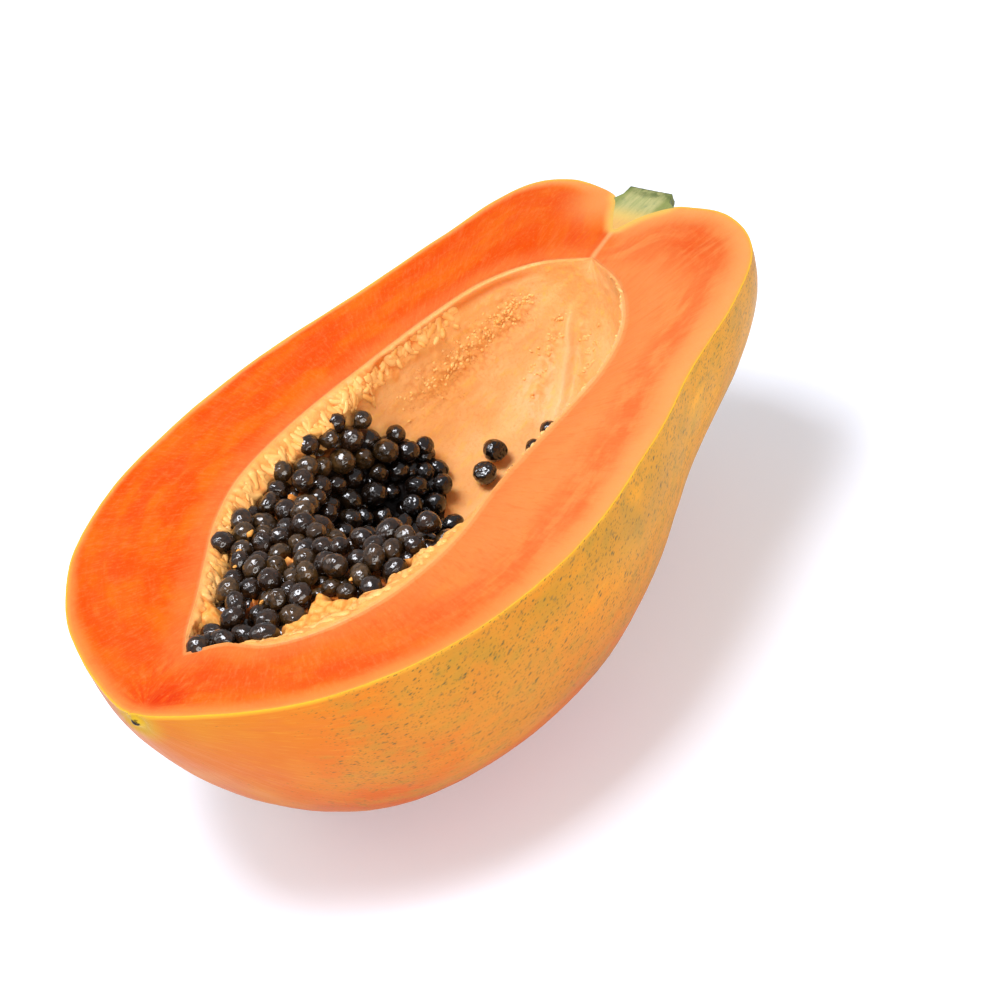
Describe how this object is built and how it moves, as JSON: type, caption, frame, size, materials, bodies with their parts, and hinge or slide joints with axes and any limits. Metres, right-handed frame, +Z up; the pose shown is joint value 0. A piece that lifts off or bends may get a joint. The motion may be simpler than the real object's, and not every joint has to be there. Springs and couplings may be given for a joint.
{
  "type": "halved papaya",
  "caption": "Ripe papaya cut in half lengthwise, lying cut face up: orange flesh, a pointed seed cavity with its heap of dark seeds, yellow skin and half of the green stem stub.",
  "frame": {"origin": "on the surface it rests on, under the middle of the part's bounding box", "axes": "+X along the fruit from the blossom tip to the stem, +Z up out of the level cut face, +Y across"},
  "size_m": [0.2116, 0.138, 0.0734],
  "materials": {
    "flesh": "satin",
    "stem": "matte",
    "seed": "gloss"
  },
  "bodies": {
    "root": {"papaya_half": "flesh", "stem": "stem", "seeds": "seed", "loose_seed_1": "seed", "loose_seed_2": "seed", "loose_seed_3": "seed", "loose_seed_4": "seed", "loose_seed_5": "seed"}
  },
  "joints": []
}
